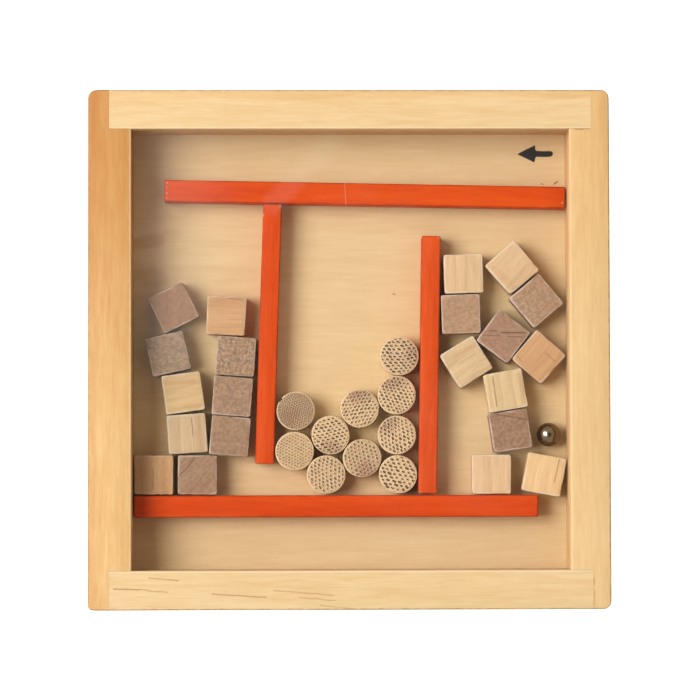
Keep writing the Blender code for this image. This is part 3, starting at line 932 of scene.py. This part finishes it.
def build_tray():
    """The four bars and their finishes."""
    left = build_stile("left_stile", -1, -1)
    right = build_stile("right_stile", 1, None)
    left_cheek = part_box("left_stile")[1].x - RABBET
    right_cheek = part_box("right_stile")[0].x + RABBET
    top = build_rail("top_rail", 1, left_cheek, right_cheek)
    bottom = build_rail("bottom_rail", -1, left_cheek, right_cheek)
    along_y = (0, 0, math.radians(90))
    middle, half = middle_and_half("left_stile")
    warm = (0.77, 0.56, 0.34, 1)
    dress(left, pine_finish("honey_pine_left", middle, along_y, (half.y, half.x, half.z),
                            tone(247, 208, 144), tone(232, 176, 108), (0, 0.011, -0.028), 1.0,
                            1, ends=True, drift=0.55, pale=0.35,
                            fades=((0, -32, 56, warm, 0.95), (1, 1.5, 5.6, warm, 0.35))),
          "tray", "left_stile")
    middle, half = middle_and_half("right_stile")
    seam_dashes = along_y_lines(middle, (
        (60.65, -57.0, 60.65, -58.8, 0.16, 0.2, 0.55),
        (60.65, -60.0, 60.65, -64.0, 0.14, 0.2, 0.45),
        (56.4, 54.8, 58.5, 54.8, 0.18, 0.15, 0.75),
        (58.9, 54.85, 60.0, 54.85, 0.14, 0.1, 0.6),
    ))
    dress(right, pine_finish("pine_right", middle, along_y, (half.y, half.x, half.z),
                             tone(247, 212, 155), tone(232, 190, 130), (0, -0.014, -0.022), 2.0,
                             -1, ends=True, drift=0.45, pale=0.3, lines=seam_dashes,
                             fades=((0, -5, 60, (0.97, 0.86, 0.74, 1), 0.9),)),
          "tray", "right_stile")
    middle, half = middle_and_half("top_rail")
    dress(top, pine_finish("pine_top", middle, (0, 0, 0), half, tone(250, 219, 167),
                           tone(236, 194, 134), (0, 0.016, -0.016), 3.0, 1,
                           fades=((1, 1.0, 4.6, (0.96, 0.88, 0.76, 1), 0.8),)),
          "tray", "top_rail")
    middle, half = middle_and_half("bottom_rail")
    streaks = ((-58.9, 0.5, -52.5, 0.3, 0.26, 0.5, 0.6), (-52.5, 0.3, -45.6, -0.4, 0.24, 0.6, 0.4),
               (-50.2, 3.2, -42.9, 2.5, 0.22, 0.5, 0.5), (-34.5, -0.8, -21.2, -1.7, 0.28, 0.6, 0.5),
               (-19.3, 0.1, -4.5, -1.2, 0.24, 0.6, 0.35), (-12.9, -1.7, -4.1, -2.5, 0.24, 0.6, 0.35),
               (-7.8, -3.7, 0.5, -4.5, 0.22, 0.5, 0.3))
    dress(bottom, pine_finish("pine_bottom", middle, (0, 0, 0), half, tone(248, 218, 166),
                              tone(234, 194, 136), (0, -0.008, -0.025), 4.0, -1, lines=streaks),
          "tray", "bottom_rail")


# Painted sticks

def true_size(node, lean):
    """Length and width of a leaning stick from its box."""
    low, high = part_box(node)
    across, along = high.x - low.x, high.y - low.y
    cosine, sine = math.cos(abs(lean)), math.sin(abs(lean))
    spread = cosine * cosine - sine * sine
    return (across * cosine - along * sine) / spread, (along * cosine - across * sine) / spread


def build_stick(node, lean_degrees, base, seed, lines=()):
    """A painted square stick, its arrises rubbed round, lying a little out of line."""
    lean = math.radians(lean_degrees)
    middle, half = middle_and_half(node)
    width, length = true_size(node, lean)
    reach_on = Vector(END_REACH.get(node, (0, 0, 0))) / 2
    half = Vector((width / 2, length / 2, half.z)) + reach_on
    piece = slab(node + "_stick", -half, half)
    edit(piece)
    pick_all()
    round_picked(WALL_EDGE, BEVEL_STEPS)
    long_x = half.x > half.y
    for step in range(1, WALL_SLICES):
        reach = step / WALL_SLICES * 2 - 1
        if long_x:
            slice_at((reach * half.x, 0, 0), (1, 0, 0))
        else:
            slice_at((0, reach * half.y, 0), (0, 1, 0))
    to_object()
    for vertex in piece.data.vertices:
        sway = noise.noise_vector(vertex.co * WALL_WAVES + Vector((seed * 3.1, 0, 0))) * WALL_WEAR
        inward = Vector(-abs(sway[i]) * math.copysign(1, vertex.co[i]) for i in range(3))
        if near(abs(vertex.co.z), half.z):
            inward.z = 0
        vertex.co += inward
    piece.data.transform(Matrix.Translation(middle) @ Matrix.Rotation(lean, 4, "Z")
                         @ Matrix.Translation(reach_on))
    settle(piece)
    turn = (0, 0, lean if long_x else lean + math.radians(90))
    size = half if long_x else Vector((half.y, half.x, half.z))
    dress(piece, paint_finish(node + "_paint", middle, turn, size, base, seed, lines),
          "tray", node)


def build_sticks():
    """The four painted walls."""
    # The small pale dots given to the top wall and the left upright are painted glints.
    build_stick("top_wall", WALL_LEANS["top_wall"], tone(238, 91, 20, PAINT_LIT), 11.0,
                ((49.6, -1.4, 49.9, -1.3, 0.26, 0.1, 0.9), (-49.8, 2.0, -49.7, 1.8, 0.24, 0.1, 0.9),
                 (-49.9, 0.9, -49.8, 0.7, 0.20, 0.1, 0.8), (-49.8, -0.5, -49.7, -0.7, 0.24, 0.1, 0.9),
                 (-49.8, -1.7, -49.7, -1.8, 0.20, 0.1, 0.8)))
    build_stick("bottom_wall", WALL_LEANS["bottom_wall"], tone(234, 85, 20, PAINT_LIT), 12.0)
    build_stick("left_upright", WALL_LEANS["left_upright"], tone(237, 92, 28, PAINT_LIT), 13.0,
                ((30.1, 2.2, 29.6, 2.2, 0.20, 0.1, 0.9),))
    build_stick("right_upright", WALL_LEANS["right_upright"], tone(237, 96, 36, SHADED_PAINT_LIT), 14.0)


# Wooden blocks

# Each block: its slot, its tone, the grain's turn in degrees, ring strength, mottling, pale specks,
# its dark lines and its broad bands. Lines and bands are in millimetres from its middle, as seen
# from above: from x, y to x, y, width, raggedness and strength.
BLOCKS = {
    "left_block_01": ("grey", (172, 130, 98), 60, 0.10, 0.30, 0.15, (),
                      ((-1.9, -3.6, -0.6, 3.4, 1.6, 0.5, 0.35),)),
    "left_block_02": ("orange", (214, 168, 121), 3, 0.15, 0.05, 0.1,
                      ((0.3, 4.4, 4.1, 3.9, 0.22, 0.2, 0.4), (0.6, -1.0, 4.3, -1.1, 0.18, 0.2, 0.2)),
                      ((-4.0, 3.0, 2.0, 3.4, 1.6, 0.5, 0.3),)),
    "left_block_03": ("grey", (179, 149, 120), 5, 0.10, 0.55, 0.2, (), ()),
    "left_block_04": ("brown", (185, 148, 113), 80, 0.10, 0.80, 1.2, (), ()),
    "left_block_05": ("pale", (219, 187, 138), 2, 0.25, 0.05, 0.0, (),
                      ((-4.2, 2.2, 2.8, 2.9, 0.8, 0.5, 0.45), (0.8, -3.6, 4.6, -3.1, 0.6, 0.4, 0.3))),
    "left_block_06": ("grey", (181, 145, 114), 20, 0.10, 0.50, 0.45, (), ()),
    "left_block_07": ("pale", (215, 186, 147), 90, 0.25, 0.05, 0.0,
                      ((1.1, 3.9, 1.5, -0.4, 0.22, 0.25, 0.65), (1.5, -0.4, 1.8, -4.0, 0.16, 0.2, 0.25)),
                      ()),
    "left_block_08": ("grey", (178, 142, 111), 8, 0.10, 0.42, 0.15, (), ()),
    "left_block_09": ("tan", (214, 168, 118), 90, 0.25, 0.15, 0.1,
                      ((-0.2, 1.4, -0.3, -3.4, 0.30, 0.3, 0.35),),
                      ((3.4, -4.0, 2.6, 3.5, 0.9, 0.5, 0.25),)),
    "left_block_10": ("grey", (178, 142, 111), 45, 0.10, 0.35, 0.1,
                      ((-4.5, -0.1, -2.4, 2.0, 0.28, 0.2, 0.65), (-2.4, 2.0, -0.6, 4.4, 0.28, 0.2, 0.65),
                       (-1.8, -4.3, 4.0, 3.0, 0.25, 0.3, 0.28)),
                      ((1.4, -3.4, 4.2, 0.6, 1.4, 0.4, 0.25),)),
    "right_block_01": ("pale", (223, 191, 148), 90, 0.20, 0.05, 0.0, (),
                       ((-2.2, 4.2, -2.0, -4.2, 0.45, 0.4, 0.40),)),
    "right_block_02": ("pale", (221, 189, 147), 4, 0.12, 0.08, 0.0, (),
                       ((-4.6, 0.0, 0.6, -5.0, 1.2, 0.5, 0.25),)),
    "right_block_03": ("grey", (191, 155, 121), 15, 0.10, 0.40, 0.2, (), ()),
    "right_block_04": ("grey", (188, 153, 121), 3, 0.15, 0.45, 0.05, (), ()),
    "right_block_05": ("grey", (176, 138, 111), 2, 0.10, 0.35, 0.15,
                       ((-0.4, 1.0, 5.4, 0.95, 0.26, 0.2, 0.8), (-4.2, 1.3, -1.6, 1.5, 0.24, 0.3, 0.6),
                        (-5.0, 0.3, -0.6, 0.15, 0.20, 0.3, 0.5), (1.2, 0.0, 4.8, -0.1, 0.20, 0.2, 0.6),
                        (-4.6, -0.9, -1.4, -0.8, 0.18, 0.3, 0.3), (4.4, -1.3, 4.9, -1.2, 0.25, 0.1, 0.6)),
                       ()),
    "right_block_06": ("pale", (219, 190, 148), 0, 0.30, 0.05, 0.0,
                       ((-1.7, -0.4, 2.2, 2.0, 0.20, 0.3, 0.25), (1.4, -2.2, 4.4, -0.4, 0.2, 0.3, 0.25)),
                       ((-2.6, 1.4, 1.4, 3.9, 0.7, 0.4, 0.25),)),
    "right_block_07": ("orange", (208, 164, 118), 90, 0.30, 0.05, 0.0,
                       ((1.6, 1.0, 4.2, -1.2, 0.26, 0.3, 0.38), (-5.4, 0.2, -4.4, -1.0, 0.24, 0.2, 0.4)),
                       ()),
    "right_block_08": ("pale", (223, 196, 150), 90, 0.20, 0.05, 0.0,
                       ((-3.2, 3.4, -2.2, -3.9, 0.26, 0.2, 0.6),),
                       ((3.4, 3.9, 4.5, -3.0, 0.8, 0.4, 0.45), (-4.2, 2.6, -3.4, -4.0, 0.5, 0.3, 0.3))),
    "right_block_09": ("brown", (169, 130, 101), 12, 0.10, 0.50, 0.25,
                       ((-3.5, 4.1, 4.6, 2.7, 0.24, 0.25, 0.6),), ()),
    "right_block_10": ("tan", (225, 191, 147), 90, 0.12, 0.05, 0.05, (), ()),
    "right_block_11": ("pale", (236, 201, 151), 90, 0.20, 0.05, 0.0,
                       ((3.8, 4.0, 2.5, -1.8, 0.24, 0.2, 0.55), (0.7, 0.2, 1.1, 0.1, 0.2, 0.1, 0.3)), ()),
}


def block_look(red, green, blue, lit):
    """A block's own tone, and those of its dark grain, rims, lines and bands."""
    def shade(share, warm=1.0):
        """The tone at a share of its light, and warmer by a share of its green and blue."""
        return tone(min(255, red * share), min(255, green * share * warm),
                    min(255, blue * share * warm * warm), lit)
    rim = tone(*(part + (255 - part) * 0.42 for part in (red, green, blue)), lit)
    return (shade(1.06), shade(0.90, 0.96), shade(0.78, 1.0), rim, shade(0.60, 0.87),
            shade(0.93, 0.88))


def turned_lines(lines, degrees):
    """Lines given as seen from above, as a turned piece's own pattern sees them."""
    return [(*turned_back(line[0:2], degrees), *turned_back(line[2:4], degrees), *line[4:])
            for line in lines]


def turn_of(node):
    """How far a block is turned in plan, from its broadest upright face."""
    best, turn = 0.0, 0.0
    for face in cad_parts[node].data.polygons:
        if abs(face.normal.z) < 0.05 and face.area > best:
            best = face.area
            turn = math.atan2(face.normal.y, face.normal.x)
    quarter = math.pi / 2
    return (turn + quarter / 2) % quarter - quarter / 2


def block_master():
    """One block sawn from stick: arrises rubbed round, faces a little uneven."""
    piece = slab("block_master", -BLOCK_HALF, BLOCK_HALF)
    edit(piece)
    pick(piece, "EDGE", lambda e: abs(e.verts[0].co.z - e.verts[1].co.z) > BLOCK_HALF.z)
    round_picked(BLOCK_CORNER_ROUND, BEVEL_STEPS)
    pick(piece, "EDGE", lambda e: near(e.verts[0].co.z, e.verts[1].co.z))
    round_picked(BLOCK_EDGE_ROUND, SMALL_BEVEL_STEPS)
    for axis in ((1, 0, 0), (0, 1, 0), (0, 0, 1)):
        for step in range(1, BLOCK_SLICES):
            reach = (step / BLOCK_SLICES * 2 - 1) * BLOCK_HALF.dot(Vector(axis))
            slice_at(Vector(axis) * reach, axis)
    to_object()
    return piece


def build_block(master, node, seed):
    """One wooden block, copied from the master, rubbed down its own way and set in its place."""
    kind, colour, grain_turn, rings, mottled, specked, lines, bands = BLOCKS[node]
    middle = middle_and_half(node)[0]
    turn = turn_of(node)
    piece = copy_of(master, node + "_block")
    chance = random.Random(seed)
    taper = Vector((chance.uniform(-1, 1), chance.uniform(-1, 1), 0)) * BLOCK_TAPER
    for vertex in piece.data.vertices:
        spot = vertex.co.copy()
        share = Vector(spot[i] / BLOCK_HALF[i] for i in range(3))
        sway = noise.noise_vector(spot * BLOCK_WAVES + Vector((seed, seed * 2.3, 0))) * BLOCK_WEAR
        inward = Vector(-abs(sway[i]) * math.copysign(1, spot[i]) if abs(share[i]) > 0.85 else 0
                        for i in range(3))
        edges = sum(1 for i in range(3) if abs(share[i]) > 0.90)
        if edges >= 2:
            nick = noise.noise(spot * NICK_WAVES + Vector((seed * 5.1, 0, 3)))
            inward -= share * max(0.0, nick - 0.15) * NICK_DEPTH
        if share.z < -0.99:
            inward.z = 0
        vertex.co += inward
        vertex.co.x -= share.x * abs(taper.x) * (1 + share.y * math.copysign(1, taper.x)) / 2
        vertex.co.y -= share.y * abs(taper.y) * (1 + share.x * math.copysign(1, taper.y)) / 2
    piece.data.transform(Matrix.Translation(middle) @ Matrix.Rotation(turn, 4, "Z"))
    settle(piece, 40)
    look = block_look(*colour, LEFT_LIT if node.startswith("left") else RIGHT_LIT)
    finish = block_finish(node + "_wood", middle, (0, 0, turn), look, seed,
                          (0, 0, math.radians(grain_turn)), rings, mottled, specked,
                          turned_lines(lines, math.degrees(turn)),
                          turned_lines(bands, math.degrees(turn)))
    dress(piece, finish, node, node)


def build_blocks():
    """All the loose wooden blocks."""
    master = block_master()
    for number, node in enumerate(BLOCKS):
        build_block(master, node, 20.0 + number)
    bpy.data.objects.remove(master, do_unlink=True)


# Cane slices

CANE_BASE = tone(241, 198, 146, CANE_LIT)
CANE_LIGHT = tone(234, 194, 146, CANE_LIT)
CANE_DULL = tone(228, 187, 140, CANE_LIT)
CANE_BROWN = tone(188, 148, 110, CANE_LIT)
CANE_TAN = tone(214, 174, 130, CANE_LIT)
CANE_SHADE = tone(172, 114, 82, CANE_LIT)

# Each slice: ground tone, where its darker patch lies and how far it reaches (mm), the rows' turn
# in degrees, the pores' stretch, spacing (mm), opening and depth, and how oval the slice is
DISCS = {
    "cane_disc_01": (CANE_BROWN, (-1.5, -1.5), 3.6, 20, 1.2, 0.52, 0.33, 0.85, 0.99),
    "cane_disc_02": (CANE_LIGHT, (0, 0), 0.1, 30, 1.3, 0.68, 0.31, 0.60, 1.00),
    "cane_disc_03": (CANE_BASE, (0, -4.6), 5.0, 12, 1.4, 0.84, 0.36, 1.0, 0.98),
    "cane_disc_04": (CANE_DULL, (0, 0), 0.1, -35, 1.3, 0.86, 0.33, 0.85, 0.99),
    "cane_disc_05": (CANE_DULL, (4.6, 0.6), 4.6, 5, 1.5, 0.82, 0.37, 1.0, 0.99),
    "cane_disc_06": (CANE_BASE, (-1.2, 4.6), 5.0, -10, 1.3, 0.84, 0.35, 1.0, 0.98),
    "cane_disc_07": (CANE_BASE, (-3.4, 3.8), 4.8, -28, 1.4, 0.84, 0.36, 1.0, 0.99),
    "cane_disc_08": (CANE_BASE, (0, 0), 0.1, -12, 1.5, 0.90, 0.38, 1.0, 0.98),
    "cane_disc_09": (CANE_BASE, (0, 4.8), 5.0, 62, 1.4, 0.80, 0.35, 0.95, 0.99),
    "cane_disc_10": (CANE_TAN, (1.0, -3.6), 4.0, -20, 1.3, 0.86, 0.33, 0.85, 0.98),
}

# One slice has a chip out of its rim, on its far left side. Its reach is in degrees each way.
CHIPPED_DISC = "cane_disc_01"
CHIP_SIDE = Vector((-0.80, 0.60, 0))
CHIP_REACH = 9
CHIP_DEPTH = 0.45 * MM


def disc_master():
    """One slice of round cane, its rims rubbed."""
    to_object()
    height = 2 * middle_and_half("cane_disc_01")[1].z
    bpy.ops.mesh.primitive_cylinder_add(vertices=DISC_SIDES, radius=DISC_RADIUS, depth=height,
                                        end_fill_type="NGON", location=(0, 0, 0))
    piece = bpy.context.object
    piece.name = "disc_master"
    edit(piece)
    pick(piece, "EDGE", lambda e: near(e.verts[0].co.z, e.verts[1].co.z))
    round_picked(DISC_EDGE_ROUND, BEVEL_STEPS)
    for step in range(DISC_RINGS):
        pick(piece, "FACE", lambda f: abs(f.normal.z) > 0.99 and len(f.verts) > 20)
        bpy.ops.mesh.inset(thickness=DISC_RADIUS * DISC_RING_SHARE, use_individual=True)
    pick(piece, "FACE", lambda f: len(f.verts) > 20)
    bpy.ops.mesh.poke()
    for level in DISC_LEVELS:
        slice_at((0, 0, level * height), (0, 0, 1))
    to_object()
    return piece


def build_disc(master, node, seed):
    """One slice of cane, copied from the master and set in its place."""
    base, shade_place, shade_reach, row_turn, stretch, size, open_share, depth, oval = DISCS[node]
    middle = middle_and_half(node)[0]
    piece = copy_of(master, node + "_slice")
    around = Matrix.Rotation(math.radians(seed * OVAL_TURN % 180), 4, "Z")
    piece.data.transform(around @ Matrix.Diagonal((1.0, oval, 1.0, 1.0)) @ around.inverted())
    for vertex in piece.data.vertices:
        out = Vector((vertex.co.x, vertex.co.y, 0))
        share = out.length / DISC_RADIUS
        if share > 0.5:
            sway = noise.noise(vertex.co * DISC_WAVES + Vector((seed, 0, 0)))
            vertex.co -= out.normalized() * abs(sway) * DISC_WEAR * share
            off_chip = math.degrees(abs(out.angle(CHIP_SIDE))) if node == CHIPPED_DISC else 90
            vertex.co -= out.normalized() * max(0.0, 1 - off_chip / CHIP_REACH) * CHIP_DEPTH * share
    piece.data.transform(Matrix.Translation(middle))
    settle(piece, 40)
    finish = cane_finish(node + "_cane", middle, (0, 0, math.radians(row_turn)), base,
                         CANE_SHADE, turned_back(shade_place, row_turn), shade_reach, stretch,
                         size * MM, open_share, depth, seed)
    dress(piece, finish, node, node)


def turned_back(spot, degrees):
    """A place on the table as the turned pattern sees it."""
    turned = Matrix.Rotation(math.radians(-degrees), 2) @ Vector(spot)
    return turned.x, turned.y


def build_discs():
    """All the loose slices of cane."""
    master = disc_master()
    for number, node in enumerate(DISCS):
        build_disc(master, node, 50.0 + number)
    bpy.data.objects.remove(master, do_unlink=True)


# Ball, arrow and sheets

def build_ball():
    """The steel ball, rounded up from a subdivided block."""
    middle, half = middle_and_half("steel_ball")
    radius = half.z
    piece = slab("steel_ball_polished", (-radius, -radius, -radius), (radius, radius, radius))
    edit(piece)
    pick_all()
    bpy.ops.mesh.subdivide(number_cuts=BALL_CUTS)
    to_object()
    use_modifier(piece, "CAST", cast_type="SPHERE", factor=1.0, size=radius, use_radius_as_size=False)
    for vertex in piece.data.vertices:
        vertex.co = vertex.co.normalized() * radius
    piece.data.transform(Matrix.Translation(middle))
    settle(piece, 60)
    dress(piece, steel_finish("ball_steel", middle), "steel_ball", "steel_ball")


ARROW = ((43.0, 50.0), (45.2, 51.2), (47.6, 52.3), (47.55, 51.3), (47.8, 50.85), (49.6, 50.75),
         (51.4, 50.8), (51.95, 50.6), (52.1, 50.15), (51.9, 49.6), (51.3, 49.35), (49.6, 49.3),
         (47.8, 49.35), (47.5, 48.8), (47.4, 47.85), (45.3, 48.9))
INK_DEPTH = 0.03 * MM
INK_CORNER = 0.18 * MM


def build_arrow():
    """The hand-drawn arrow on the base, in ink."""
    base_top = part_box("base_panel")[1].z
    to_object()
    bpy.ops.mesh.primitive_circle_add(vertices=len(ARROW), radius=2 * MM, fill_type="NGON")
    piece = bpy.context.object
    piece.name = "ink_arrow"
    order = sorted(piece.data.vertices, key=lambda v: v.index)
    for vertex, (x, y) in zip(order, ARROW):
        vertex.co = (x * MM, y * MM, base_top)
    edit(piece)
    pick_all()
    bpy.ops.mesh.extrude_region_move(TRANSFORM_OT_translate={"value": (0, 0, INK_DEPTH)})
    pick(piece, "EDGE", lambda e: abs(e.verts[0].co.z - e.verts[1].co.z) > INK_DEPTH / 2)
    round_picked(INK_CORNER, SMALL_BEVEL_STEPS)
    settle(piece, 30)
    dress(piece, ink_finish("marker_ink"), "tray")


def dress_sheets():
    """The plywood base and the clear cover keep their solids and get their finishes."""
    for node, finish in (("base_panel", plywood_finish("birch_ply")),
                         ("clear_cover", acrylic_finish("clear_acrylic_sheet"))):
        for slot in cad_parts[node].material_slots:
            slot.material = finish


# Studio

def build_studio():
    """Camera, lights and floor."""
    to_object()
    bpy.ops.object.camera_add(location=CAMERA_PLACE,
                              rotation=[math.radians(turn) for turn in CAMERA_TURN])
    camera = bpy.context.object
    camera.data.lens = CAMERA_LENS
    camera.data.sensor_width = 36.0
    camera.data.clip_start = 0.01
    bpy.context.scene.camera = camera
    bpy.ops.object.light_add(type="AREA", location=KEY_PLACE)
    key = bpy.context.object
    key.name = "soft_disc"
    key.data.shape = "DISK"
    key.data.size = KEY_WIDTH
    key.data.energy = KEY_POWER
    key.rotation_euler = (Vector((0, 0, 0.01)) - Vector(KEY_PLACE)).to_track_quat("-Z", "Y").to_euler()
    world = bpy.data.worlds.new("pale_room")
    bpy.context.scene.world = world
    world.use_nodes = True
    room = world.node_tree
    room.nodes["Background"].inputs["Color"].default_value = ROOM_TINT
    height = split(room, room.nodes.new("ShaderNodeTexCoord").outputs["Generated"])[2]
    level = soft_step(room, height, DARK_FROM, DARK_TO, ROOM_AROUND, ROOM_OVERHEAD)
    feed(room, room.nodes["Background"].inputs["Strength"], level)
    bpy.ops.mesh.primitive_plane_add(size=FLOOR_SIZE, location=(0, 0, 0))
    floor = bpy.context.object
    floor.name = "floor"
    finish = bpy.data.materials.new("white_card")
    finish.use_nodes = True
    shader = finish.node_tree.nodes["Principled BSDF"]
    shader.inputs["Base Color"].default_value = (0.9, 0.9, 0.9, 1)
    shader.inputs["Roughness"].default_value = 0.9
    shader.inputs["Emission Color"].default_value = (1, 1, 1, 1)
    shader.inputs["Emission Strength"].default_value = FLOOR_GLOW
    floor.data.materials.append(finish)
    bpy.context.scene.view_settings.view_transform = "Standard"
    bpy.context.scene.view_settings.look = "None"


build_studio()
build_tray()
build_sticks()
build_blocks()
build_discs()
build_ball()
build_arrow()
dress_sheets()
to_object()
